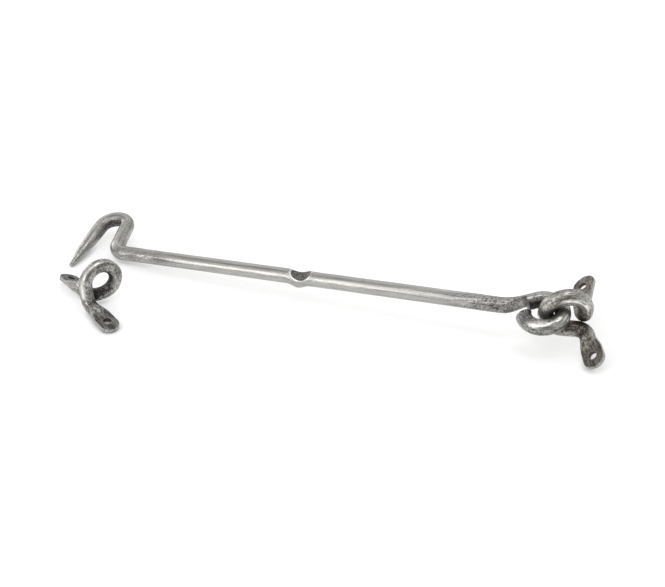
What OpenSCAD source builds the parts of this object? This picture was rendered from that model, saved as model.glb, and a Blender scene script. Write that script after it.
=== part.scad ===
// Hand-forged hook and eye latch (cabin hook), laid out as a loose set on a table.
// Three pieces: the hook bar, the pivot eye that is linked through the bar's own eye,
// and the catch eye that the hook drops into. Each is one length of round bar, bent and flattened.

/* [Hook bar] */
// Diameter of the bar at the hook end
hook_stock = 7.8; // [6:0.1:9]
// Diameter of the bar at the eye end
eye_stock = 8.2; // [6.4:0.1:9.4]
// Length of the straight shank, from the neck to the bend before the eye
shank_len = 209; // [120:1:320]
// Inside radius of the corner between shank and neck
neck_inner_r = 1.6; // [0.8:0.1:4]
// Angle of that corner
neck_angle = 86; // [80:1:95]
// Straight length of the neck
neck_len = 14.9; // [10:0.1:24]
// Inside radius of the tight first part of the hook's turn
crook_inner_r = 2; // [1:0.1:5]
// Angle of the tight part
crook_angle = 96; // [85:1:100]
// Inside radius of the wider second part of the turn
shoulder_inner_r = 4.7; // [2:0.1:8]
// Angle of the wider part
shoulder_angle = 73; // [60:1:80]
// Length of the tapered tine
tine_len = 32; // [22:0.5:45]
// Diameter of the tine's blunt point
tip_d = 2.4; // [1.6:0.1:4]

/* [Thumb dish] */
// Distance of the dish from the neck, along the shank
dish_pos = 99; // [40:1:115]
// Length of the dish
dish_len = 11; // [6:0.5:16]
// Depth of the dish
dish_depth = 1.9; // [0.5:0.1:3]
// Width that the hammered dish adds to the bar, each side
dish_swell = 1; // [0.4:0.1:2]
// How far the dish is turned towards the front of the hook
dish_turn = 25; // [0:1:60]

/* [Bar eye] */
// Inside diameter of the eye at the end of the bar
eye_hole = 11.4; // [10:0.1:16]
// Radius of the gentle bend before the eye
rise_r = 25; // [16:1:40]
// Angle of that bend
rise_angle = 30; // [20:1:40]
// Straight length between that bend and the eye
rise_len = 6.9; // [3:0.1:10]
// Angle that the eye is curled through
curl_angle = 293; // [270:1:296]

/* [Pivot eye] */
// Diameter of the pivot eye's bar
pivot_stock = 8.2; // [6.4:0.1:9.4]
// Inside diameter of the pivot eye's ring
pivot_hole = 11.2; // [10:0.1:16]
// Length of each of its feet
pivot_foot_len = 25; // [18:0.5:34]
// Width of each of its feet
pivot_foot_w = 14.5; // [11:0.1:18]
// Thickness of each of its feet
pivot_foot_t = 3.2; // [2:0.1:4.5]

/* [Catch eye] */
// Diameter of the catch eye's bar
catch_stock = 7; // [5.6:0.1:8.4]
// Inside diameter of the catch eye's ring
catch_hole = 10.2; // [9:0.1:15]
// Length of each of its feet
catch_foot_len = 23; // [16:0.5:32]
// Width of each of its feet
catch_foot_w = 11.2; // [9:0.1:16]
// Thickness of each of its feet
catch_foot_t = 2.5; // [1.6:0.1:4]

/* [Eyes] */
// Angle by which the two halves of a ring part, so that its legs pass each other
ring_fold = 5.7; // [4:0.1:10]
// Inside radius of the bend from ring to front foot
front_inner_r = 1.5; // [0.8:0.1:4]
// Inside radius of the bend from ring to back foot
back_inner_r = 2.8; // [1:0.1:5]
// Slope of the front foot
front_splay = 11; // [4:1:20]
// Slope of the back foot
back_splay = 13; // [4:1:20]
// How far the front foot is turned in under the ring
front_turn = 11; // [0:1:18]
// Diameter of the screw holes
screw_hole = 4.2; // [3:0.1:5.5]
// Distance of a screw hole from the end of its foot
screw_inset = 7; // [5:0.1:9]

/* [Layout] */
// Roll of the hook bar, which rests on its point
bar_roll = 12.2; // [0:0.1:20]
// Height of the shank's axis at the neck
neck_height = 5.47; // [4:0.05:8]
// Height of the bar's eye above its hook end
eye_lift = 12.9; // [0:0.1:25]
// Slack between the bar's eye and the ring in it, at rest
link_gap = 0.35; // [0.2:0.05:1]
// Angle between the bar and the pivot eye
pivot_swing = 19; // [-45:1:45]
// How far round the ring the bar's eye hangs from the ring's crown
pivot_seat = 24; // [-30:1:40]
// Place of the catch eye's ring from the hook's neck, along and across the bar
catch_place = [7.5, -43.3]; // [-80:0.1:80]
// Direction of the catch eye
catch_yaw = 47; // [-90:1:90]
// Place of the neck, which puts the middle of the set at the origin
neck_place = [-120.3, 12.8]; // [-200:0.1:200]

/* [Hidden] */
$fn = 64;
pewter = [0.56, 0.55, 0.53];
dark_pewter = [0.42, 0.41, 0.39];
// Number of steps along a forged taper
taper_steps = 12;
// Length of straight bar left between two bends
joint_len = 0.8;
// How far a straight length reaches into the bends at its ends
tuck = 0.4;
// How much thinner it is than the bends
lap = 0.06;
// Half of a ring's three-quarter turn
half_ring = 135;
// Middle of that turn, from the ring's side
ring_mid = 45;
// Rounded end of a foot, as a share of its width
foot_end_share = 0.45;
// Part of a foot over which the round bar is hammered flat
foot_flat_share = 0.5;
// Length of the swelling beside the thumb dish, as a share of the dish
boss_share = 1.6;

// Shank slope, neck and eye in the hook's own plane
eye_r = (eye_hole + eye_stock) / 2;
eye_start = [
    shank_len + rise_r * sin(rise_angle) + rise_len * cos(rise_angle),
    rise_r * (1 - cos(rise_angle)) + rise_len * sin(rise_angle)
];
eye_centre = eye_start + eye_r * [sin(rise_angle), -cos(rise_angle)];
bar_pitch = asin(eye_lift / eye_centre[0]);
neck_r = neck_inner_r + hook_stock / 2;
crook_r = crook_inner_r + hook_stock / 2;
shoulder_r = shoulder_inner_r + hook_stock / 2;

// Ring in the bar's eye, pulled to the far side of its hole
pivot_r = (pivot_hole + pivot_stock) / 2;
catch_r = (catch_hole + catch_stock) / 2;
link_slack = (eye_hole - pivot_stock) / 2 - link_gap;

// Heading that the fold gives to the ends of a ring
fold_lead = asin(sin(half_ring) * sin(ring_fold));

// Place of the pivot eye's ring from the point where its bar sits in the bar's eye
seat_turn = ring_mid + pivot_seat;
ring_reach = [
    pivot_r + joint_len / 2 * sin(seat_turn),
    pivot_r * (1 - cos(seat_turn)) * sin(ring_fold),
    0
];

// Height of a ring's centre over the plane that both feet reach
function ring_height(ring_r, foot_len, foot_t) =
    ring_r + foot_len * sin(back_splay) + foot_t / 2 * cos(back_splay);

// Diameter of the shank at a distance from the neck
function shank_d(at) = hook_stock + (eye_stock - hook_stock) * at / shank_len;

// Smooth step from 0 to 1
function ease(k) = k * k * (3 - 2 * k);

// Straight round bar along Z, tucked a little way into its neighbours; what follows carries on from its end
module run(len, d1, d2) {
    translate([0, 0, -tuck]) cylinder(h = len + 2 * tuck, d1 = d1 - lap, d2 = d2 - lap);
    translate([0, 0, len]) children();
}

// Bent round bar that starts along Z and curves towards X; what follows carries on from its end
module bend(r, angle, d) {
    translate([r, 0, 0]) rotate([90, 0, 180]) rotate_extrude(angle = angle) translate([r, 0]) circle(d = d);
    translate([r * (1 - cos(angle)), 0, r * sin(angle)]) rotate([0, angle, 0]) children();
}

// Bend in the flat plane of the hook bar: to the back for a positive angle, to the front for a negative one
module sweep_bend(r, angle, d) {
    side = angle > 0 ? 90 : -90;
    rotate([0, 0, side]) bend(r, abs(angle), d) rotate([0, 0, -side]) children();
}

// Tine that is drawn out to a blunt point, along Z
module tine(len, d, tip) {
    nose = tip / 2;
    straight = len - nose;
    sides = [for (i = [0:taper_steps]) let (k = i / taper_steps)
        [d / 2 - (d - tip) / 2 * pow(k, 2), straight * k]];
    round_end = [for (a = [15:15:90]) [nose * cos(a), straight + nose * sin(a)]];
    rotate_extrude() polygon(concat([[0, 0]], sides, round_end));
}

// Foot that is hammered from the round bar into a leaf with one screw hole; flat across X, along Z
module leaf_foot(d, len, w, t) {
    end_len = foot_end_share * w;
    widest = len - end_len;
    outline = concat(
        [for (i = [0:taper_steps]) let (k = i / taper_steps) [d / 2 + (w - d) / 2 * ease(k), widest * k]],
        [for (a = [15:15:75]) [w / 2 * cos(a), widest + end_len * sin(a)]]
    );
    flat_from = foot_flat_share * len;
    top = [for (i = [0:taper_steps]) let (k = i / taper_steps) [(d - (d - t) * ease(k)) / 2, flat_from * k]];
    under = [for (i = [taper_steps:-1:0]) [-top[i][0], top[i][1]]];
    difference() {
        intersection() {
            rotate_extrude() polygon(concat([[0, 0]], outline, [[0, len]]));
            rotate([90, 0, 0]) linear_extrude(height = 2 * w, center = true)
                polygon(concat(top, [[t / 2, len + 1], [-t / 2, len + 1]], under));
        }
        translate([0, 0, len - screw_inset]) rotate([0, 90, 0])
            cylinder(h = 2 * d, d = screw_hole, center = true);
    }
}

// Eye forged from one bar: a ring around Y whose ends cross over into two splayed feet.
// Its origin is the centre of the ring.
module eye_staple(d, ring_r, foot_len, foot_w, foot_t) {
    front_r = front_inner_r + d / 2;
    back_r = back_inner_r + d / 2;
    front_angle = 90 - front_splay - fold_lead;
    // The front leg is as long as brings both feet to one plane
    front_leg = (ring_height(ring_r, foot_len, foot_t)
        - foot_len * sin(front_splay) - foot_t / 2 * cos(front_splay)
        - front_r * (cos(front_splay) - sin(fold_lead))) / cos(fold_lead);
    translate(ring_r * [cos(ring_mid), 0, sin(ring_mid)]) {
        rotate([0, -ring_mid, 0]) translate([0, 0, -joint_len / 2]) run(joint_len, d, d)
            rotate([0, 0, 180 + ring_fold]) bend(ring_r, half_ring, d)
            run(front_leg, d, d)
            rotate([0, 0, 90 - front_turn]) bend(front_r, front_angle, d)
            run(joint_len, d, d)
            leaf_foot(d, foot_len, foot_w, foot_t);
        rotate([0, 180 - ring_mid, 0]) translate([0, 0, joint_len / 2])
            rotate([0, 0, ring_fold]) bend(ring_r, half_ring, d)
            run(joint_len, d, d)
            rotate([0, 0, 90]) bend(back_r, 90 - fold_lead, d)
            run(joint_len, d, d)
            rotate([0, 0, 90]) bend(back_r, back_splay, d)
            run(joint_len, d, d)
            leaf_foot(d, foot_len, foot_w, foot_t);
    }
}

// Swelling of the shank beside the thumb dish
module dish_boss() {
    reach = boss_share * dish_len;
    full = shank_d(dish_pos) / 2 + dish_swell;
    outline = [for (a = [-90:15:90]) [full - boss_share * dish_swell * pow(sin(a), 2), reach / 2 * sin(a)]];
    rotate([0, 90, 0]) rotate_extrude()
        polygon(concat([[0, -reach / 2]], outline, [[0, reach / 2]]));
}

// Round-bottomed cut across the shank
module dish_cut() {
    cut_r = (pow(dish_len / 2, 2) + pow(dish_depth, 2)) / (2 * dish_depth);
    rotate([-dish_turn, 0, 0]) translate([0, 0, shank_d(dish_pos) / 2 - dish_depth + cut_r])
        rotate([90, 0, 0]) rotate([0, 0, 180]) cylinder(h = 4 * eye_stock, r = cut_r, center = true);
}

// The hook bar in its own plane: shank along X from the neck, hook and eye open in the XY plane
module flat_hook_bar() {
    difference() {
        union() {
            rotate([0, 90, 0]) run(shank_len, hook_stock, eye_stock)
                sweep_bend(rise_r, rise_angle, eye_stock)
                run(rise_len, eye_stock, eye_stock)
                sweep_bend(eye_r, -curl_angle, eye_stock);
            translate([dish_pos, 0, 0]) dish_boss();
        }
        translate([dish_pos, 0, 0]) dish_cut();
    }
    rotate([0, -90, 0]) sweep_bend(neck_r, neck_angle, hook_stock)
        run(neck_len, hook_stock, hook_stock)
        sweep_bend(crook_r, -crook_angle, hook_stock)
        run(joint_len, hook_stock, hook_stock)
        sweep_bend(shoulder_r, -shoulder_angle, hook_stock)
        run(joint_len, hook_stock, hook_stock)
        tine(tine_len, hook_stock, tip_d);
}

// Lays what is drawn in the hook's plane on the table
module lay_bar() {
    translate([neck_place[0], neck_place[1], neck_height]) rotate([bar_roll, -bar_pitch, 0]) children();
}

module hook_bar() {
    color(pewter) lay_bar() flat_hook_bar();
}

module pivot_eye() {
    color(dark_pewter) lay_bar()
        translate([eye_centre[0] + link_slack, eye_centre[1], 0])
        rotate([0, 0, pivot_swing]) translate(ring_reach) rotate([0, pivot_seat - 90, 0])
        eye_staple(pivot_stock, pivot_r, pivot_foot_len, pivot_foot_w, pivot_foot_t);
}

module catch_eye() {
    color(dark_pewter)
        translate([
            neck_place[0] + catch_place[0],
            neck_place[1] + catch_place[1],
            ring_height(catch_r, catch_foot_len, catch_foot_t)
        ])
        rotate([0, 0, catch_yaw])
        eye_staple(catch_stock, catch_r, catch_foot_len, catch_foot_w, catch_foot_t);
}

hook_bar();
pivot_eye();
catch_eye();
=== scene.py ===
"""Looks of a hand-forged hook and eye latch, laid out as a loose set on a pale table."""

import math

import bmesh
import bpy
from mathutils import Matrix, Vector, bvhtree, kdtree, noise


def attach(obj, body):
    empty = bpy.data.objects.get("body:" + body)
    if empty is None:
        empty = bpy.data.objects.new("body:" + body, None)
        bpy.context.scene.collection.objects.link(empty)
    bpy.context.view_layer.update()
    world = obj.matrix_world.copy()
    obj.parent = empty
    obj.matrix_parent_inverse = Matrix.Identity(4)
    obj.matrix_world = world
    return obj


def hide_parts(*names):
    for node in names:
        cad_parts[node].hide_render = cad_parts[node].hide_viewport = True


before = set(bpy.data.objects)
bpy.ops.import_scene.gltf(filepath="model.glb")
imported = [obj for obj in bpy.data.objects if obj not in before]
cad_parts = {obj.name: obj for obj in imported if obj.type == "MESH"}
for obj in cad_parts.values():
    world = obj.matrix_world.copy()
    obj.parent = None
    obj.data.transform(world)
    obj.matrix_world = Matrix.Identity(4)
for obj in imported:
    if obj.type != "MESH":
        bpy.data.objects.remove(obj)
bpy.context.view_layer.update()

MM = 0.001

# Hook bar, in millimetres
HOOK_STOCK = 7.8
EYE_STOCK = 8.2
SHANK_LEN = 209
NECK_INNER_R = 1.6
NECK_ANGLE = 86
NECK_LEN = 14.9
CROOK_INNER_R = 2
CROOK_ANGLE = 96
SHOULDER_INNER_R = 4.7
SHOULDER_ANGLE = 73
TINE_LEN = 32
TIP_D = 2.4
NOSE_LEAST_SQUARE = 0.01
EYE_HOLE = 11.4
RISE_R = 25
RISE_ANGLE = 30
RISE_LEN = 6.9
CURL_ANGLE = 296
SCARF_DEPTH = 8.2
SCARF_ANGLE = 55

# Thumb dish, and how the bar swells and sags under it
DISH_POS = 103.4
DISH_LEN = 11
DISH_DEPTH = 2.7
DISH_TURN = 3.6
DISH_SWELL = 0.25
DISH_SWELL_SHARE = 0.8
DISH_SAG = 1.4
DISH_SAG_TURN = 25
DISH_SAG_BACK = 1.5
DISH_SAG_REACH = 6.2

# Eyes
PIVOT = {
    "stock": 8.2, "hole": 11.2, "foot_len": 20, "foot_w": 11.4, "foot_t": 2.2,
    "front_twist": -52, "back_twist": 56, "front_turn": -5, "back_lean": -3, "back_highlight": 1.25,
}
CATCH = {
    "stock": 7, "hole": 10.4, "foot_len": 20.6, "foot_w": 10.2, "foot_t": 2.5,
    "front_twist": 0, "back_twist": 23, "front_turn": 2, "back_lean": 0, "back_highlight": None,
}
RING_FOLD = 5.7
FRONT_INNER_R = 1.5
BACK_INNER_R = 2.8
FRONT_SPLAY = 8
BACK_SPLAY = 13
HALF_RING = 135
RING_MID = 45
FOOT_END_SHARE = 0.45
FOOT_FLAT_SHARE = 0.5
FOOT_MASK_SHARE = 0.6
FOOT_LEAN_FROM = 0.3
FOOT_END_POWER = 0.6
FOOT_END_LEAST = 0.004
FOOT_WALL = 0.98
SCREW_HOLE = 4.2
SCREW_INSET = 7
JOINT_LEN = 0.8

# Layout on the table
BAR_ROLL = 12.2
NECK_HEIGHT = 5.47
EYE_LIFT = 12.9
LINK_GAP = 0.35
PIVOT_SWING = 16
PIVOT_SEAT = 6
NECK_PLACE = Vector((-120.3, 12.8, NECK_HEIGHT))
CATCH_PLACE = Vector((6.6, -40.6, 0))
CATCH_REST = -0.23
CATCH_YAW = 52

# Mesh
SIDES = 64
STEP = 0.5
FOOT_STEP = 0.8 * STEP

# How worked the bar is at its hook, along its shank and towards its eye
HOOK_FORGE = 0.55
HOOK_FORGE_FADE = (10, 40)
SHANK_FORGE = 0.16
EYE_FORGE_FADE = (170, 35)

# Hammer marks: depths in millimetres, scales per millimetre of the bar's own grain
WAVE_DEPTH = 0.10
WAVE_SCALE = (0.16, 0.16, 0.09)
LINE_DEPTH = 0.13
LINE_SCALE = (1.1, 1.1, 0.10)
LINE_SHIFT = Vector((7, 3, 1))
PIT_DEPTH = 0.13
PIT_SCALE = 0.7
PIT_OCTAVES = 3
PIT_LEVEL = 0.25
FACET_DEPTH = 0.09
FACET_SCALE = 0.22
FACET_LEVEL = 0.25
FOOT_CALM = 0.6

# Painted highlight bands, painted near white where the bends catch light: turn from the outside of the bend
# and half width, in radians
HIGHLIGHT_FADE = 6
CURL_HIGHLIGHT = (0.95, 0.3)
CURL_HIGHLIGHT_FROM = 14
CURL_HIGHLIGHT_TO = 8
FRONT_HIGHLIGHT = (0.55, 0.25)
FRONT_HIGHLIGHT_INSET = 4
BACK_HIGHLIGHT_WIDTH = 0.22
BACK_HIGHLIGHT_FROM = 2

# Recesses, found by casting rays against the piece itself: they keep dark scale, and the same darkening
# paints the shade that falls in them
RECESS_RAYS = 20
RECESS_REACH = 22
RECESS_LIFT = 0.2
RECESS_LEAST_WORKED = 0.2

# Cuts
HOLE_FLARE = 1.2
HOLE_LIP = 0.3
HOLE_STEPS = 40
FULLER_STEPS = 96
SHARP_ANGLE = 38
SAME_SPOT = 1e-6
MERGE_GAP = 1e-4

# What each spot of a forged mesh knows of itself
LAYERS = ("grain", "high", "worked", "recess", "foot", "wall", "painted_highlight")

# Finishes, and the paints for painted highlights
BAR_SILVER = (0.47, 0.465, 0.445, 1)
EYE_SILVER = (0.52, 0.51, 0.48, 1)
DARK_SCALE = (0.045, 0.043, 0.04, 1)
# Brown dark scale of the pivot eye, whose brown tint also paints a brown reflection
BROWN_SCALE_AND_REFLECTION = (0.08, 0.06, 0.045, 1)
# Pale, for painted highlights on cut rims and on the rounded edges of the feet
RIM_HIGHLIGHT_COLOUR = (0.62, 0.615, 0.59, 1)
# Near white, for the painted highlight bands
HIGHLIGHT_COLOUR = (0.9, 0.89, 0.86, 1)
BARE_ROUGH = 0.17
SCALE_ROUGH = 0.26
LINE_ROUGH = 0.2
SCALE_METAL_LOSS = 0.3
BUMP_STRENGTH = 0.35
BUMP_DISTANCE = 0.0003

# Patina noises: stretch along each axis, scale, detail and roughness
MOTTLE = ((1, 1, 0.75), 1.2, 4, 0.6)
DRAWN = ((1, 1, 0.03), 1.7, 3)
BLOTCH = ((1, 1, 0.6), 0.2, 2)
# Noise that breaks up the painted highlight bands
HIGHLIGHT_BREAKUP = ((1, 1, 0.4), 0.5, 3)
FLOOR = ((1, 1, 1), 1400, 3)
CHIP_SCALE = 0.33

# Patina, painted shade in recesses and painted highlights: where each effect sets in, and how much it counts
CHIP_EDGE = (0.08, 0.17)
CHIP_WEIGHT = 0.8
CHIP_DEPTH = 0.5
FOOT_EVEN = 0.55
FOOT_DARK = 0.12
DRAWN_WEIGHT = 0.2
DRAWN_DEPTH = 0.45
BLOTCH_WEIGHT = 0.35
HIGH_WEIGHT = 0.8
# Recess darkening: kept dark scale, which is also painted shade
RECESS_EDGE = (0.08, 0.55)
RECESS_WEIGHT = 0.4
SCALE_EDGE = (0.48, 0.92)
SCALE_AND_SHADE_EDGE = (0.1, 0.5)
SCALE_AND_SHADE_WEIGHT = 1.3
SCALE_AND_SHADE_MOTTLE = 1.15
SCALE_AND_SHADE_MOST = 0.95
BRUSHED_EDGE = (0.3, 0.7)
BRUSHED_LEVEL = (0.78, 1.1)
# Painted highlight on the rounded edges of the feet
WALL_EDGE = (0.35, 0.55)
WALL_LEVEL = (0.2, 0.75)
# Where the painted highlight bands break up
HIGHLIGHT_BREAKUP_EDGE = (0.3, 0.48)
FLOOR_EDGE = (0.35, 0.65)
FLOOR_LEVEL = (1, 0.5)

# Edges of a tool cut, in metres past its radius; the rim gets a painted highlight
CUT_EDGE = (0.00004, 0.00016)
CUT_RIM = (0.0004, 0.0008)

# Table, whose glow carries a painted contact shadow
TABLE_HALF = 6
TABLE_DROP = 0.0003
TABLE_GREY = (0.6, 0.6, 0.6, 1)
TABLE_GLOW = (0.53, 0.85)
TABLE_GLOW_REACH = (0.25, 1.2)
CONTACT_SHADOW_REACH = 0.003
CONTACT_SHADOW_SAMPLES = 8

# Room, which is darker behind the camera
HORIZON = (0.78, 0.78, 0.77, 1)
ZENITH = (0.5, 0.5, 0.5, 1)
DARK_SIDE = (0.3, -0.93, 0.2)
DARK_SIDE_EDGE = (0.72, 0.94)
DARK_SIDE_LEVEL = 0.05

# Softboxes: name, direction, long side, distance, size and brightness
SOFTBOX_POWER = 4
SOFTBOXES = (
    ("front", (-0.26, -0.706, 0.659), (0.285, 0.265, 0.404), 0.9, (1.1, 0.62), 1.0),
    ("front_left", (-0.42, -0.83, 0.37), (0.285, 0.265, 0.404), 0.9, (0.34, 0.3), 1.3),
    ("back", (-0.26, 0.74, 0.62), (1, 0.35, 0), 1.0, (1.5, 0.6), 0.4),
    ("top", (0.15, 0.1, 0.98), (1, 0, 0), 0.9, (0.5, 0.4), 1.6),
    ("left", (-0.9, 0.3, 0.32), (0, 0, 1), 0.9, (0.5, 0.35), 1.6),
)

# Camera
VIEW_AZIMUTH = 18.63
VIEW_ELEVATION = 34
VIEW_DISTANCE = 0.8
VIEW_AIM = Vector((-0.0021, 0.0196, 0))
FOCAL_PIXELS = 1508
IMAGE_WIDTH = 665
SENSOR_WIDTH = 36


def turn(axis, degrees):
    return Matrix.Rotation(math.radians(degrees), 4, axis)


def shift(x, y, z):
    return Matrix.Translation((x, y, z))


def ease(k):
    k = min(max(k, 0.0), 1.0)
    return k * k * (3 - 2 * k)


# Bars that are swept along a path

class Path:
    """Walks along the middle of a bar and notes a station every short step."""

    def __init__(self, start):
        self.frame = start.copy()
        self.roll = 0.0
        self.along = 0.0
        self.stations = []

    def turn(self, degrees):
        self.roll += math.radians(degrees)

    def note(self, thick, width, lean=(0.0, 0.0), foot=0.0):
        self.stations.append((self.frame.copy(), self.roll, self.along, thick, width, lean, foot))

    def run(self, length, section, step=STEP):
        steps = max(1, round(length / step))
        start = self.frame.copy()
        for i in range(1, steps + 1):
            self.frame = start @ shift(0, 0, length * i / steps)
            self.along += length / steps
            self.note(*section(i / steps))

    def bend(self, radius, angle, section):
        length = radius * math.radians(angle)
        steps = max(2, round(length / STEP))
        start = self.frame.copy()
        axis = Vector((-math.sin(self.roll), math.cos(self.roll), 0))
        middle = radius * Vector((math.cos(self.roll), math.sin(self.roll), 0))
        for i in range(1, steps + 1):
            round_axis = Matrix.Rotation(math.radians(angle) * i / steps, 4, axis)
            self.frame = start @ Matrix.Translation(middle) @ round_axis @ Matrix.Translation(-middle)
            self.along += length / steps
            self.note(*section(i / steps))


class Rod:
    """A bar that grows ring by ring, both ways from its first section."""

    def __init__(self, start, radius):
        self.bm = bmesh.new()
        self.angle = self.bm.verts.layers.float.new("angle")
        self.grain = self.bm.verts.layers.float_vector.new("grain")
        self.foot = self.bm.verts.layers.float.new("foot")
        self.wall = self.bm.verts.layers.float.new("wall")
        self.painted_highlight = self.bm.verts.layers.float.new("painted_highlight")
        made = bmesh.ops.create_circle(self.bm, segments=SIDES, radius=radius, matrix=start)
        self.first = made["verts"]
        self.first_edges = list(self.bm.edges)
        for v in self.first:
            place = start.inverted() @ v.co
            v[self.grain] = place

    def grow(self, start, stations, way, painted_highlight=None):
        """Extrudes the first section through the stations and closes the end.

        The last argument gives where a band of painted highlight starts and ends, its turn
        from the outside and its half width.
        """
        to_start = start.inverted()
        for v in self.first:
            place = to_start @ v.co
            v[self.angle] = math.atan2(place.y, place.x)
        edges = self.first_edges
        for place, roll, along, thick, width, lean, foot in stations:
            made = bmesh.ops.extrude_edge_only(self.bm, edges=edges)["geom"]
            verts = {g for g in made if isinstance(g, bmesh.types.BMVert)}
            edges = [
                g for g in made
                if isinstance(g, bmesh.types.BMEdge) and g.verts[0] in verts and g.verts[1] in verts
            ]
            for v in verts:
                a = v[self.angle] - roll
                across = min(max(width * math.cos(a), -thick), thick) + lean[0]
                beside = width * math.sin(a) + lean[1]
                spot = Vector((
                    across * math.cos(roll) - beside * math.sin(roll),
                    across * math.sin(roll) + beside * math.cos(roll),
                    0,
                ))
                v.co = place @ spot
                v[self.grain] = (spot.x, spot.y * way, along * way)
                v[self.foot] = foot
                # The rounded edges of a foot, which get a painted highlight
                v[self.wall] = foot if abs(width * math.cos(a)) < thick * FOOT_WALL else 0
                # A band of painted highlight along part of the path
                if painted_highlight and painted_highlight[0] < along < painted_highlight[1]:
                    outside = math.acos(-math.cos(a))
                    fade = ease((along - painted_highlight[0]) / HIGHLIGHT_FADE) * ease((painted_highlight[1] - along) / HIGHLIGHT_FADE)
                    v[self.painted_highlight] = fade * math.exp(-((outside - painted_highlight[2]) / painted_highlight[3]) ** 2)
        bmesh.ops.edgeloop_fill(self.bm, edges=edges)


def straight(start_d, end_d):
    """Section of a round bar that runs from one diameter to another."""
    def section(k):
        r = (start_d + (end_d - start_d) * k) / 2
        return r, r
    return section


# Hook bar

def lay_bar():
    eye_r = (EYE_HOLE + EYE_STOCK) / 2
    rise = math.radians(RISE_ANGLE)
    eye_x = SHANK_LEN + RISE_R * math.sin(rise) + RISE_LEN * math.cos(rise) + eye_r * math.sin(rise)
    eye_y = RISE_R * (1 - math.cos(rise)) + RISE_LEN * math.sin(rise) - eye_r * math.cos(rise)
    pitch = math.degrees(math.asin(EYE_LIFT / eye_x))
    laid = Matrix.Translation(NECK_PLACE) @ turn("Y", -pitch) @ turn("X", BAR_ROLL)
    return laid, eye_x, eye_y


def tine_section(k):
    nose = TIP_D / 2
    full = HOOK_STOCK / 2 - (HOOK_STOCK - TIP_D) / 2 * min(k / (1 - nose / TINE_LEN), 1) ** 2
    left = (1 - k) * TINE_LEN
    if left < nose:
        full = math.sqrt(max(nose ** 2 - (nose - left) ** 2, NOSE_LEAST_SQUARE))
    return full, full


def shank_section(k):
    r = (HOOK_STOCK + (EYE_STOCK - HOOK_STOCK) * k) / 2
    away = (k * SHANK_LEN - DISH_POS) / (DISH_SWELL_SHARE * DISH_LEN)
    swell = DISH_SWELL * math.cos(away * math.pi / 2) ** 2 if abs(away) < 1 else 0
    off = abs(k * SHANK_LEN - DISH_POS + DISH_SAG_BACK) / DISH_SAG_REACH
    sag = DISH_SAG * ease(1 - off)
    dip = math.radians(DISH_SAG_TURN)
    return r + swell, r + swell, (sag * math.cos(dip), -sag * math.sin(dip))


def forge_hook_bar(laid):
    start = laid @ turn("Y", 90)
    rod = Rod(start, HOOK_STOCK / 2)
    hook = HOOK_STOCK / 2

    to_eye = Path(start)
    to_eye.run(SHANK_LEN, shank_section)
    to_eye.turn(90)
    to_eye.bend(RISE_R, RISE_ANGLE, straight(EYE_STOCK, EYE_STOCK))
    to_eye.run(RISE_LEN, straight(EYE_STOCK, EYE_STOCK))
    to_eye.turn(180)
    to_eye.bend((EYE_HOLE + EYE_STOCK) / 2, CURL_ANGLE, straight(EYE_STOCK, EYE_STOCK))
    curl_at = SHANK_LEN + RISE_R * math.radians(RISE_ANGLE) + RISE_LEN
    rod.grow(start, to_eye.stations, 1, (curl_at + CURL_HIGHLIGHT_FROM, to_eye.along - CURL_HIGHLIGHT_TO, *CURL_HIGHLIGHT))

    back = laid @ turn("Y", -90)
    to_tip = Path(back)
    to_tip.turn(90)
    to_tip.bend(NECK_INNER_R + hook, NECK_ANGLE, straight(HOOK_STOCK, HOOK_STOCK))
    to_tip.run(NECK_LEN, straight(HOOK_STOCK, HOOK_STOCK))
    to_tip.turn(180)
    to_tip.bend(CROOK_INNER_R + hook, CROOK_ANGLE, straight(HOOK_STOCK, HOOK_STOCK))
    to_tip.run(JOINT_LEN, straight(HOOK_STOCK, HOOK_STOCK))
    to_tip.bend(SHOULDER_INNER_R + hook, SHOULDER_ANGLE, straight(HOOK_STOCK, HOOK_STOCK))
    to_tip.run(JOINT_LEN, straight(HOOK_STOCK, HOOK_STOCK))
    to_tip.run(TINE_LEN, tine_section)
    rod.grow(back, to_tip.stations, -1)
    return rod


# Eyes

def foot_section(eye, lean=0.0):
    """Section of a foot: round at the root, a leaf with a rounded end, which may lean to one side."""
    root = eye["stock"] / 2
    half_w = eye["foot_w"] / 2
    half_t = eye["foot_t"] / 2
    end_len = FOOT_END_SHARE * eye["foot_w"]
    widest = eye["foot_len"] - end_len

    def section(k):
        at = k * eye["foot_len"]
        thick = root - (root - half_t) * ease(at / (FOOT_FLAT_SHARE * eye["foot_len"]))
        if at < widest:
            width = root + (half_w - root) * ease(at / (FOOT_FLAT_SHARE * eye["foot_len"]))
        else:
            width = half_w * max(1 - ((at - widest) / end_len) ** 2, FOOT_END_LEAST) ** FOOT_END_POWER
        bent = lean * max(at / eye["foot_len"] - FOOT_LEAN_FROM, 0) ** 2
        mask = ease(at / (FOOT_MASK_SHARE * FOOT_FLAT_SHARE * eye["foot_len"]))
        return thick, width, (0, bent), mask
    return section


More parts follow.
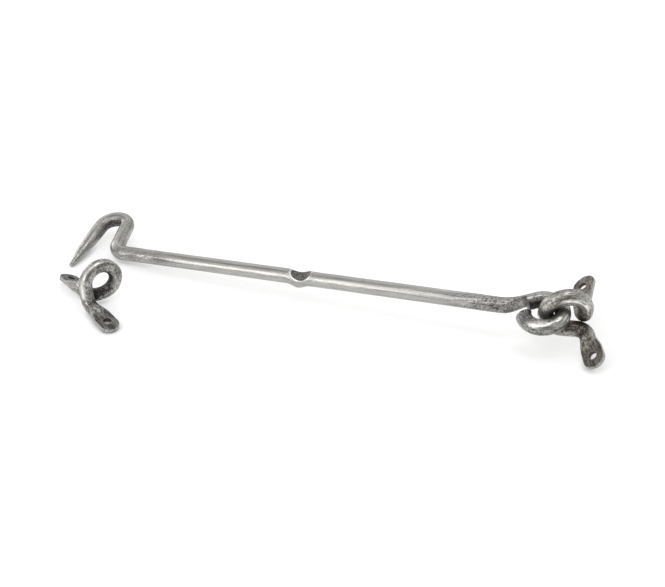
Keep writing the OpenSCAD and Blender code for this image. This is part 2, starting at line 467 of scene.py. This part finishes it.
def forge_eye(eye, middle):
    """Bends one bar into a ring whose ends cross over into two feet. Returns the rod and both foot frames."""
    d = eye["stock"]
    ring_r = (eye["hole"] + d) / 2
    front_r = FRONT_INNER_R + d / 2
    back_r = BACK_INNER_R + d / 2
    fold = math.radians(RING_FOLD)
    lead = math.asin(math.sin(math.radians(HALF_RING)) * math.sin(fold))
    lead_deg = math.degrees(lead)
    back_slope = math.radians(BACK_SPLAY)
    front_slope = math.radians(FRONT_SPLAY)
    height = ring_r + eye["foot_len"] * math.sin(back_slope) + eye["foot_t"] / 2 * math.cos(back_slope)
    front_leg = (
        height - eye["foot_len"] * math.sin(front_slope) - eye["foot_t"] / 2 * math.cos(front_slope)
        - front_r * (math.cos(front_slope) - math.sin(lead))
    ) / math.cos(lead)
    even = straight(d, d)
    mid = math.radians(RING_MID)
    crown = middle @ shift(ring_r * math.cos(mid), 0, ring_r * math.sin(mid))
    start = crown @ turn("Y", -RING_MID) @ shift(0, 0, -JOINT_LEN / 2)
    rod = Rod(start, d / 2)

    front = Path(start)
    front.run(JOINT_LEN, even)
    front.turn(180 + RING_FOLD)
    front.bend(ring_r, HALF_RING, even)
    front.run(front_leg, even)
    front.turn(90 - eye["front_turn"])
    front.bend(front_r, 90 - FRONT_SPLAY - lead_deg, even)
    front.run(JOINT_LEN, even)
    front.turn(eye["front_twist"])
    front_foot = front.frame @ Matrix.Rotation(front.roll, 4, "Z")
    foot_at = front.along
    front.run(eye["foot_len"], foot_section(eye), FOOT_STEP)
    rod.grow(start, front.stations, 1, (FRONT_HIGHLIGHT_INSET, foot_at - FRONT_HIGHLIGHT_INSET, *FRONT_HIGHLIGHT))

    other = crown @ turn("Y", 180 - RING_MID) @ shift(0, 0, JOINT_LEN / 2)
    back = Path(other)
    back.turn(RING_FOLD)
    back.bend(ring_r, HALF_RING, even)
    back.run(JOINT_LEN, even)
    back.turn(90)
    back.bend(back_r, 90 - lead_deg, even)
    back.run(JOINT_LEN, even)
    back.turn(90)
    back.bend(back_r, BACK_SPLAY, even)
    back.run(JOINT_LEN, even)
    back.turn(eye["back_twist"])
    back_foot = back.frame @ Matrix.Rotation(back.roll, 4, "Z")
    back.run(eye["foot_len"], foot_section(eye, eye["back_lean"]), FOOT_STEP)
    ring_len = ring_r * math.radians(HALF_RING)
    back_highlight = None
    if eye["back_highlight"]:
        back_highlight = (BACK_HIGHLIGHT_FROM, ring_len, eye["back_highlight"], BACK_HIGHLIGHT_WIDTH)
    rod.grow(other, back.stations, -1, back_highlight)
    return rod, (front_foot, back_foot)


# Hammer work

def stretch(at, scale):
    return Vector((at.x * scale[0], at.y * scale[1], at.z * scale[2]))


def hammer(rod, forge):
    """Moves the surface in and out as hammer blows and drawing leave it. forge gives how worked it is."""
    bm = rod.bm
    bmesh.ops.recalc_face_normals(bm, faces=bm.faces)
    bm.normal_update()
    high = bm.verts.layers.float.new("high")
    worked = bm.verts.layers.float.new("worked")
    moves = {}
    for v in bm.verts:
        at = Vector(v[rod.grain])
        f = forge(at.z)
        wave = noise.noise(stretch(at, WAVE_SCALE))
        lines = noise.noise(stretch(at, LINE_SCALE) + LINE_SHIFT)
        pits = noise.turbulence(at * PIT_SCALE, PIT_OCTAVES, False)
        facet = noise.voronoi(at * FACET_SCALE)[0][0] ** 2
        blows = WAVE_DEPTH * wave - PIT_DEPTH * max(pits - PIT_LEVEL, 0)
        blows += FACET_DEPTH * (facet - FACET_LEVEL)
        move = f * (1 - FOOT_CALM * v[rod.foot]) * blows
        move += LINE_DEPTH * lines * min(2 * f, 1)
        moves[v] = move
        v[worked] = f
        v[high] = move
    for v, move in moves.items():
        v.co += v.normal * move
    bm.normal_update()
    shade_recesses(bm, worked)


def shade_recesses(bm, worked):
    """Notes how closed in each spot is by the piece itself, an ambient occlusion that darkens the spot: dark
    scale that is never rubbed off, and painted shade.
    """
    recess = bm.verts.layers.float.new("recess")
    solid = bvhtree.BVHTree.FromBMesh(bm)
    rays = []
    for i in range(RECESS_RAYS):
        up = (i + 0.5) / RECESS_RAYS
        round_up = math.pi * (3 - math.sqrt(5)) * i
        flat = math.sqrt(1 - up * up)
        rays.append(Vector((flat * math.cos(round_up), flat * math.sin(round_up), up)))
    for v in bm.verts:
        if v[worked] < RECESS_LEAST_WORKED:
            continue
        aim = v.normal.to_track_quat("Z", "Y").to_matrix()
        start = v.co + v.normal * RECESS_LIFT
        shut = sum(solid.ray_cast(start, aim @ ray, RECESS_REACH)[0] is not None for ray in rays)
        v[recess] = shut / RECESS_RAYS


def link_mesh(name, bm):
    mesh = bpy.data.meshes.new(name)
    bm.to_mesh(mesh)
    bm.free()
    made = bpy.data.objects.new(name, mesh)
    bpy.context.collection.objects.link(made)
    return made


def make_piece(name, rod):
    bmesh.ops.scale(rod.bm, vec=(MM, MM, MM), verts=rod.bm.verts)
    piece = link_mesh(name, rod.bm)
    piece.data.shade_smooth()
    return piece


def make_cutter(name, bm, place):
    """Puts a cutting tool in its place on the table."""
    bmesh.ops.transform(bm, matrix=place, verts=bm.verts)
    bmesh.ops.scale(bm, vec=(MM, MM, MM), verts=bm.verts)
    cutter = link_mesh(name, bm)
    cutter.hide_render = True
    return cutter


def cut(piece, cutters):
    """Cuts shapes out of a piece, and gives the new edges the grain of the bar round them."""
    whole = piece.data
    for cutter in cutters:
        tool = piece.modifiers.new("cut", "BOOLEAN")
        tool.operation = "DIFFERENCE"
        tool.solver = "EXACT"
        tool.object = cutter
    ready = piece.evaluated_get(bpy.context.evaluated_depsgraph_get())
    mesh = bpy.data.meshes.new_from_object(ready)
    piece.modifiers.clear()
    near = kdtree.KDTree(len(whole.vertices))
    for v in whole.vertices:
        near.insert(v.co, v.index)
    near.balance()
    for layer in LAYERS:
        old = whole.attributes[layer].data
        new = mesh.attributes[layer].data
        field = "vector" if layer == "grain" else "value"
        for v in mesh.vertices:
            found = near.find(v.co)
            if found[2] > SAME_SPOT:
                setattr(new[v.index], field, getattr(old[found[1]], field))
    mesh.shade_smooth()
    mesh.set_sharp_from_angle(angle=math.radians(SHARP_ANGLE))
    piece.data = mesh
    mesh.name = piece.name
    for cutter in cutters:
        bpy.data.objects.remove(cutter)


def hole_cutter(foot, eye):
    """A punch for a screw hole, a little wider at its mouths."""
    half = eye["foot_t"] / 2
    r = SCREW_HOLE / 2
    profile = [
        (0, -3 * half), (r + HOLE_FLARE, -3 * half), (r, -half + HOLE_LIP),
        (r, half - HOLE_LIP), (r + HOLE_FLARE, 3 * half), (0, 3 * half),
    ]
    bm = bmesh.new()
    verts = [bm.verts.new((x, 0, z)) for x, z in profile]
    edges = [bm.edges.new(pair) for pair in zip(verts, verts[1:])]
    bmesh.ops.spin(
        bm, geom=verts + edges, cent=(0, 0, 0), axis=(0, 0, 1), angle=2 * math.pi, steps=HOLE_STEPS,
        use_merge=True,
    )
    bmesh.ops.remove_doubles(bm, verts=bm.verts, dist=MERGE_GAP)
    bmesh.ops.recalc_face_normals(bm, faces=bm.faces)
    return make_cutter("punch", bm, foot @ shift(0, 0, eye["foot_len"] - SCREW_INSET) @ turn("Y", 90))


def lay_fuller(laid):
    """Place and radius of the round fuller that leaves the thumb dish."""
    at = DISH_POS / SHANK_LEN
    r = (HOOK_STOCK + (EYE_STOCK - HOOK_STOCK) * at) / 2
    fuller_r = ((DISH_LEN / 2) ** 2 + DISH_DEPTH ** 2) / (2 * DISH_DEPTH)
    place = laid @ shift(DISH_POS, 0, 0) @ turn("X", -DISH_TURN)
    return place @ shift(0, 0, r - DISH_DEPTH + fuller_r) @ turn("X", 90), fuller_r


def dish_cutter(laid):
    place, fuller_r = lay_fuller(laid)
    bm = bmesh.new()
    bmesh.ops.create_cone(
        bm, cap_ends=True, segments=FULLER_STEPS, radius1=fuller_r, radius2=fuller_r, depth=4 * EYE_STOCK
    )
    return make_cutter("fuller", bm, place)


def scarf_cutter(laid, eye_x, eye_y):
    """The chisel that cuts the end of the bar's eye on the slant."""
    bm = bmesh.new()
    bmesh.ops.create_cube(bm, size=1)
    bmesh.ops.translate(bm, vec=(0.5, 0.5, 0), verts=bm.verts)
    bmesh.ops.scale(bm, vec=(EYE_STOCK, 2 * EYE_STOCK, 2 * EYE_STOCK), verts=bm.verts)
    eye_r = (EYE_HOLE + EYE_STOCK) / 2
    place = laid @ shift(eye_x, eye_y, 0) @ turn("Z", 90 + RISE_ANGLE - CURL_ANGLE)
    place = place @ shift(eye_r + EYE_STOCK / 2 - SCARF_DEPTH, 0, 0)
    return make_cutter("chisel", bm, place @ turn("Z", -SCARF_ANGLE) @ shift(0, -JOINT_LEN, 0))


# Materials

class Nodes:
    """Short calls for building a node tree."""

    def __init__(self, tree):
        self.tree = tree

    def add(self, kind, **values):
        node = self.tree.nodes.new("ShaderNode" + kind)
        for key, value in values.items():
            setattr(node, key, value)
        return node

    def join(self, source, target):
        if isinstance(source, (int, float, tuple)):
            target.default_value = source
        else:
            self.tree.links.new(source, target)

    def math(self, operation, *terms):
        node = self.add("Math", operation=operation)
        for i, term in enumerate(terms):
            self.join(term, node.inputs[i])
        return node.outputs["Value"]

    def noise(self, place, stretch, scale, detail, rough=0.5):
        """Noise on a set of coordinates, stretched along each axis."""
        aim = self.add("Mapping")
        self.join(place, aim.inputs["Vector"])
        aim.inputs["Scale"].default_value = stretch
        node = self.add("TexNoise")
        self.join(aim.outputs["Vector"], node.inputs["Vector"])
        node.inputs["Scale"].default_value = scale
        node.inputs["Detail"].default_value = detail
        node.inputs["Roughness"].default_value = rough
        return node.outputs["Fac"]

    def fit(self, value, low, high, to_low=0.0, to_high=1.0):
        node = self.add("MapRange", interpolation_type="SMOOTHSTEP")
        self.join(value, node.inputs["Value"])
        node.inputs["From Min"].default_value = low
        node.inputs["From Max"].default_value = high
        node.inputs["To Min"].default_value = to_low
        node.inputs["To Max"].default_value = to_high
        return node.outputs["Result"]

    def tint(self, factor, first, second, kind="MIX"):
        node = self.add("Mix", data_type="RGBA", blend_type=kind)
        self.join(factor, node.inputs["Factor"])
        self.join(first, node.inputs["A"])
        self.join(second, node.inputs["B"])
        return node.outputs["Result"]


def start_group(name, inputs, outputs):
    tree = bpy.data.node_groups.new(name, "ShaderNodeTree")
    for label, kind in inputs:
        tree.interface.new_socket(label, in_out="INPUT", socket_type="NodeSocket" + kind)
    for label, kind in outputs:
        tree.interface.new_socket(label, in_out="OUTPUT", socket_type="NodeSocket" + kind)
    kit = Nodes(tree)
    taken = tree.nodes.new("NodeGroupInput")
    given = tree.nodes.new("NodeGroupOutput")
    return kit, taken.outputs, given.inputs


def make_patina_and_shade_group():
    """Dark scale in the low places, bare metal on the high ones, chips and lengthwise drawing lines, and
    recess darkening that is both kept scale and painted shade.
    """
    kit, taken, given = start_group(
        "hammered_patina_and_shade",
        [
            ("Grain", "Vector"), ("High", "Float"), ("Worked", "Float"), ("Recess", "Float"),
            ("Foot", "Float"), ("Darkness", "Float"), ("Scale And Shade Gain", "Float"),
        ],
        [("Patina And Shade", "Float"), ("Lines", "Float"), ("Height", "Float")],
    )
    grain = taken["Grain"]
    mottle = kit.noise(grain, *MOTTLE)
    even = kit.math("MULTIPLY", kit.math("SUBTRACT", 0.5, mottle), taken["Foot"])
    mottle = kit.math("MULTIPLY_ADD", even, FOOT_EVEN, mottle)
    lines = kit.noise(grain, *DRAWN)
    blotch = kit.noise(grain, *BLOTCH)
    chip_at = kit.add("TexVoronoi")
    kit.join(grain, chip_at.inputs["Vector"])
    chip_at.inputs["Scale"].default_value = CHIP_SCALE
    chip = kit.fit(chip_at.outputs["Distance"], *CHIP_EDGE, 1, 0)
    level = kit.math("MULTIPLY_ADD", lines, DRAWN_WEIGHT, mottle)
    level = kit.math("MULTIPLY_ADD", blotch, BLOTCH_WEIGHT, level)
    level = kit.math("MULTIPLY_ADD", taken["High"], HIGH_WEIGHT, level)
    # Recesses get more dark scale, which also paints the shade that falls in them
    shut = kit.fit(taken["Recess"], *RECESS_EDGE, 0, RECESS_WEIGHT)
    level = kit.math("SUBTRACT", level, shut)
    level = kit.math("MULTIPLY_ADD", taken["Foot"], -FOOT_DARK, level)
    level = kit.math("SUBTRACT", level, taken["Darkness"])
    scale = kit.fit(level, *SCALE_EDGE, 1, 0)
    scale = kit.math("MAXIMUM", scale, kit.math("MULTIPLY", chip, CHIP_WEIGHT))
    scale = kit.math("MULTIPLY", scale, taken["Worked"])
    # Deep in the recesses a near black coat: kept dark scale and painted shade
    scale_and_shade = kit.math("MULTIPLY", taken["Recess"], taken["Scale And Shade Gain"])
    scale_and_shade = kit.fit(scale_and_shade, *SCALE_AND_SHADE_EDGE, 0, SCALE_AND_SHADE_WEIGHT)
    scale_and_shade = kit.math("MULTIPLY", scale_and_shade, kit.math("SUBTRACT", SCALE_AND_SHADE_MOTTLE, mottle))
    scale_and_shade = kit.math("MINIMUM", scale_and_shade, SCALE_AND_SHADE_MOST)
    kit.join(kit.math("MAXIMUM", scale, scale_and_shade), given["Patina And Shade"])
    kit.join(lines, given["Lines"])
    rough = kit.math("MULTIPLY_ADD", chip, -CHIP_DEPTH, mottle)
    rough = kit.math("MULTIPLY", rough, taken["Worked"])
    kit.join(kit.math("MULTIPLY_ADD", lines, DRAWN_DEPTH, rough), given["Height"])
    return kit.tree


def make_cut_group():
    """Where a round tool has cut: inside its bore, and the rim just outside, which is painted as a highlight.
    """
    kit, taken, given = start_group(
        "tool_cut",
        [
            ("Place", "Vector"), ("Middle", "Vector"), ("Axis", "Vector"), ("Radius", "Float"),
            ("Reach", "Float"),
        ],
        [("Inside", "Float"), ("Rim", "Float")],
    )
    off = kit.add("VectorMath", operation="SUBTRACT")
    kit.join(taken["Place"], off.inputs[0])
    kit.join(taken["Middle"], off.inputs[1])
    along = kit.add("VectorMath", operation="DOT_PRODUCT")
    kit.join(off.outputs["Vector"], along.inputs[0])
    kit.join(taken["Axis"], along.inputs[1])
    run = kit.add("VectorMath", operation="SCALE")
    kit.join(taken["Axis"], run.inputs[0])
    kit.join(along.outputs["Value"], run.inputs["Scale"])
    across = kit.add("VectorMath", operation="SUBTRACT")
    kit.join(off.outputs["Vector"], across.inputs[0])
    kit.join(run.outputs["Vector"], across.inputs[1])
    far = kit.add("VectorMath", operation="LENGTH")
    kit.join(across.outputs["Vector"], far.inputs[0])
    past = kit.math("SUBTRACT", far.outputs["Value"], taken["Radius"])
    near = kit.math("LESS_THAN", kit.math("ABSOLUTE", along.outputs["Value"]), taken["Reach"])
    inside = kit.fit(past, *CUT_EDGE, 1, 0)
    rim = kit.fit(past, *CUT_RIM, 1, 0)
    rim = kit.math("SUBTRACT", rim, inside)
    kit.join(kit.math("MULTIPLY", inside, near), given["Inside"])
    kit.join(kit.math("MULTIPLY", rim, near), given["Rim"])
    return kit.tree


PATINA_AND_SHADE_GROUP = make_patina_and_shade_group()
CUT_GROUP = make_cut_group()


def pewter(name, silver, dark, darkness, scale_and_shade_gain, cuts, rim):
    """Pewter finish of one piece.

    cuts lists the middle, axis, radius and reach of each round tool that cut it, in metres. rim gives
    how strongly the rims of these cuts are painted pale as a highlight. The finish also carries painted
    highlight bands, painted highlights on the edges of the feet and painted shade in the recesses.
    """
    material = bpy.data.materials.new(name)
    material.use_nodes = True
    kit = Nodes(material.node_tree)
    shader = material.node_tree.nodes["Principled BSDF"]
    layers = {}
    for layer in LAYERS:
        layers[layer] = kit.add("Attribute", attribute_name=layer)
    patina = kit.add("Group", node_tree=PATINA_AND_SHADE_GROUP)
    kit.join(layers["grain"].outputs["Vector"], patina.inputs["Grain"])
    kit.join(layers["high"].outputs["Fac"], patina.inputs["High"])
    kit.join(layers["worked"].outputs["Fac"], patina.inputs["Worked"])
    kit.join(layers["recess"].outputs["Fac"], patina.inputs["Recess"])
    kit.join(layers["foot"].outputs["Fac"], patina.inputs["Foot"])
    patina.inputs["Darkness"].default_value = darkness
    patina.inputs["Scale And Shade Gain"].default_value = scale_and_shade_gain
    scale = patina.outputs["Patina And Shade"]
    lines = patina.outputs["Lines"]
    brushed = kit.fit(lines, *BRUSHED_EDGE, *BRUSHED_LEVEL)
    bare = kit.tint(1.0, silver, brushed, "MULTIPLY")
    colour = kit.tint(scale, bare, dark)
    # The rounded edges of the feet are painted paler, streaked like rubbed metal: a painted highlight
    edge_highlight = kit.fit(lines, *WALL_EDGE, *WALL_LEVEL)
    edge_highlight = kit.math("MULTIPLY", layers["wall"].outputs["Fac"], edge_highlight)
    colour = kit.tint(edge_highlight, colour, RIM_HIGHLIGHT_COLOUR)
    # Bands painted near white: painted highlights where the bends catch light
    bright = kit.fit(kit.noise(layers["grain"].outputs["Vector"], *HIGHLIGHT_BREAKUP), *HIGHLIGHT_BREAKUP_EDGE)
    bright = kit.math("MULTIPLY", layers["painted_highlight"].outputs["Fac"], bright)
    colour = kit.tint(bright, colour, HIGHLIGHT_COLOUR)
    scale = kit.math("MULTIPLY", scale, kit.math("SUBTRACT", 1.0, bright))
    place = kit.add("TexCoord").outputs["Object"]
    floor = kit.fit(kit.noise(place, *FLOOR), *FLOOR_EDGE, *FLOOR_LEVEL)
    for middle, axis, radius, reach in cuts:
        tool = kit.add("Group", node_tree=CUT_GROUP)
        kit.join(place, tool.inputs["Place"])
        tool.inputs["Middle"].default_value = middle
        tool.inputs["Axis"].default_value = axis
        tool.inputs["Radius"].default_value = radius
        tool.inputs["Reach"].default_value = reach
        shade = kit.math("MULTIPLY", tool.outputs["Inside"], floor)
        colour = kit.tint(shade, colour, dark)
        # The rim just outside each cut is painted pale: a painted highlight
        colour = kit.tint(kit.math("MULTIPLY", tool.outputs["Rim"], rim), colour, RIM_HIGHLIGHT_COLOUR)
        scale = kit.math("MAXIMUM", scale, shade)
    kit.join(colour, shader.inputs["Base Color"])
    rough = kit.math("MULTIPLY_ADD", scale, SCALE_ROUGH, BARE_ROUGH)
    kit.join(kit.math("MULTIPLY_ADD", lines, LINE_ROUGH, rough), shader.inputs["Roughness"])
    kit.join(kit.math("MULTIPLY_ADD", scale, -SCALE_METAL_LOSS, 1.0), shader.inputs["Metallic"])
    bump = kit.add("Bump")
    bump.inputs["Strength"].default_value = BUMP_STRENGTH
    bump.inputs["Distance"].default_value = BUMP_DISTANCE
    kit.join(patina.outputs["Height"], bump.inputs["Height"])
    kit.join(bump.outputs["Normal"], shader.inputs["Normal"])
    return material


# Pieces

def dress(piece, node, finish, body):
    piece.data.materials.clear()
    piece.data.materials.append(finish)
    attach(piece, body)
    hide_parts(node)


def bar_forge(along):
    """How worked the hook bar is: the shank is drawn smooth, the hook and the eye are hammered."""
    hook_end = HOOK_FORGE * (1 - ease((along - HOOK_FORGE_FADE[0]) / HOOK_FORGE_FADE[1]))
    eye_end = ease((along - EYE_FORGE_FADE[0]) / EYE_FORGE_FADE[1])
    return max(SHANK_FORGE, hook_end, eye_end)


def eye_forge(along):
    """An eye is hammered all along."""
    return 1


def screw_cuts(feet, eye):
    cuts = []
    for foot in feet:
        middle = foot @ Vector((0, 0, eye["foot_len"] - SCREW_INSET))
        axis = foot.to_3x3() @ Vector((1, 0, 0))
        cuts.append((middle * MM, axis, SCREW_HOLE / 2 * MM, eye["foot_t"] * MM))
    return cuts


def make_hook_bar():
    laid, eye_x, eye_y = lay_bar()
    rod = forge_hook_bar(laid)
    hammer(rod, bar_forge)
    hook_bar = make_piece("forged_hook_bar", rod)
    cut(hook_bar, [dish_cutter(laid), scarf_cutter(laid, eye_x, eye_y)])
    place, fuller_r = lay_fuller(laid)
    axis = place.to_3x3() @ Vector((0, 0, 1))
    dish = (place.translation * MM, axis, fuller_r * MM, 2 * EYE_STOCK * MM)
    finish = pewter("bar_patina_and_painted_light", BAR_SILVER, DARK_SCALE, darkness=0.05, scale_and_shade_gain=1.6, cuts=[dish], rim=0.8)
    dress(hook_bar, "hook_bar", finish, "hook_bar")


def make_pivot_eye():
    laid, eye_x, eye_y = lay_bar()
    ring_r = (PIVOT["hole"] + PIVOT["stock"]) / 2
    slack = (EYE_HOLE - PIVOT["stock"]) / 2 - LINK_GAP
    seat_turn = math.radians(RING_MID + PIVOT_SEAT)
    reach = shift(
        ring_r + JOINT_LEN / 2 * math.sin(seat_turn),
        ring_r * (1 - math.cos(seat_turn)) * math.sin(math.radians(RING_FOLD)),
        0,
    )
    link = laid @ shift(eye_x + slack, eye_y, 0) @ turn("Z", PIVOT_SWING)
    rod, feet = forge_eye(PIVOT, link @ reach @ turn("Y", PIVOT_SEAT - 90))
    hammer(rod, eye_forge)
    pivot_eye = make_piece("forged_pivot_eye", rod)
    cut(pivot_eye, [hole_cutter(foot, PIVOT) for foot in feet])
    holes = screw_cuts(feet, PIVOT)
    finish = pewter("pivot_patina_and_painted_light", EYE_SILVER, BROWN_SCALE_AND_REFLECTION, darkness=0.04, scale_and_shade_gain=1.2, cuts=holes, rim=0.2)
    dress(pivot_eye, "pivot_eye", finish, "pivot_eye")


def make_catch_eye():
    slope = math.radians(BACK_SPLAY)
    height = (CATCH["hole"] + CATCH["stock"]) / 2 + CATCH["foot_len"] * math.sin(slope)
    height += CATCH["foot_t"] / 2 * math.cos(slope) + CATCH_REST
    spot = NECK_PLACE + CATCH_PLACE
    rod, feet = forge_eye(CATCH, shift(spot.x, spot.y, height) @ turn("Z", CATCH_YAW))
    hammer(rod, eye_forge)
    catch_eye = make_piece("forged_catch_eye", rod)
    cut(catch_eye, [hole_cutter(foot, CATCH) for foot in feet])
    holes = screw_cuts(feet, CATCH)
    finish = pewter("catch_patina_and_painted_light", EYE_SILVER, DARK_SCALE, darkness=0.04, scale_and_shade_gain=1.2, cuts=holes, rim=0.2)
    dress(catch_eye, "catch_eye", finish, "catch_eye")


# Table, light and camera

def make_table():
    """A white table, which glows for the eye and in reflections and keeps the shadows; its glow is darkened
    next to the pieces as a painted contact shadow.
    """
    bm = bmesh.new()
    bmesh.ops.create_grid(bm, x_segments=1, y_segments=1, size=TABLE_HALF)
    bmesh.ops.translate(bm, vec=(0, 0, -TABLE_DROP), verts=bm.verts)
    table = link_mesh("table", bm)
    material = bpy.data.materials.new("white_table")
    material.use_nodes = True
    material.node_tree.nodes.clear()
    kit = Nodes(material.node_tree)
    matt = kit.add("BsdfDiffuse")
    matt.inputs["Color"].default_value = TABLE_GREY
    # Ambient occlusion darkens the glow next to the pieces: a painted contact shadow
    near = kit.add("AmbientOcclusion", samples=CONTACT_SHADOW_SAMPLES)
    near.inputs["Distance"].default_value = CONTACT_SHADOW_REACH
    far = kit.add("VectorMath", operation="LENGTH")
    kit.join(kit.add("TexCoord").outputs["Object"], far.inputs[0])
    glow = kit.add("Emission")
    kit.join(near.outputs["Color"], glow.inputs["Color"])
    kit.join(kit.fit(far.outputs["Value"], *TABLE_GLOW_REACH, *TABLE_GLOW), glow.inputs["Strength"])
    path = kit.add("LightPath")
    seen = kit.math("MAXIMUM", path.outputs["Is Camera Ray"], path.outputs["Is Glossy Ray"])
    seen = kit.math("MAXIMUM", seen, path.outputs["Is Transmission Ray"])
    lit = kit.add("AddShader")
    kit.join(matt.outputs["BSDF"], lit.inputs[0])
    kit.join(glow.outputs["Emission"], lit.inputs[1])
    mix = kit.add("MixShader")
    kit.join(seen, mix.inputs["Fac"])
    kit.join(matt.outputs["BSDF"], mix.inputs[1])
    kit.join(lit.outputs["Shader"], mix.inputs[2])
    kit.join(mix.outputs["Shader"], kit.add("OutputMaterial").inputs["Surface"])
    table.data.materials.append(material)


def make_room():
    world = bpy.data.worlds.new("studio")
    bpy.context.scene.world = world
    world.use_nodes = True
    kit = Nodes(world.node_tree)
    back = world.node_tree.nodes["Background"]
    where = kit.add("TexCoord").outputs["Generated"]
    split = kit.add("SeparateXYZ")
    kit.join(where, split.inputs["Vector"])
    ramp = kit.add("ValToRGB")
    ramp.color_ramp.elements[0].color = HORIZON
    ramp.color_ramp.elements[1].color = ZENITH
    kit.join(split.outputs["Z"], ramp.inputs["Fac"])
    kit.join(ramp.outputs["Color"], back.inputs["Color"])
    toward = kit.add("VectorMath", operation="DOT_PRODUCT")
    kit.join(where, toward.inputs[0])
    toward.inputs[1].default_value = Vector(DARK_SIDE).normalized()
    level = kit.fit(toward.outputs["Value"], *DARK_SIDE_EDGE, 1.0, DARK_SIDE_LEVEL)
    kit.join(level, back.inputs["Strength"])


def make_softboxes():
    for name, toward, along, far, size, level in SOFTBOXES:
        lamp = bpy.data.lights.new(name, "AREA")
        lamp.shape = "RECTANGLE"
        lamp.size, lamp.size_y = size
        lamp.energy = SOFTBOX_POWER * lamp.size * lamp.size_y * level
        out = Vector(toward).normalized()
        up = out.cross(Vector(along)).normalized()
        side = up.cross(out)
        holder = bpy.data.objects.new(name, lamp)
        holder.matrix_world = Matrix.Translation(out * far) @ Matrix((side, up, out)).transposed().to_4x4()
        bpy.context.collection.objects.link(holder)


def make_camera():
    data = bpy.data.cameras.new("camera")
    data.sensor_width = SENSOR_WIDTH
    data.lens = FOCAL_PIXELS / IMAGE_WIDTH * SENSOR_WIDTH
    camera = bpy.data.objects.new("camera", data)
    a = math.radians(VIEW_AZIMUTH)
    e = math.radians(VIEW_ELEVATION)
    back = Vector((math.sin(a) * math.cos(e), -math.cos(a) * math.cos(e), math.sin(e)))
    camera.location = VIEW_AIM + back * VIEW_DISTANCE
    camera.rotation_mode = "QUATERNION"
    camera.rotation_quaternion = (-back).to_track_quat("-Z", "Y")
    bpy.context.collection.objects.link(camera)
    bpy.context.scene.camera = camera


make_hook_bar()
make_pivot_eye()
make_catch_eye()
make_table()
make_room()
make_softboxes()
make_camera()
bpy.context.scene.view_settings.view_transform = "Standard"
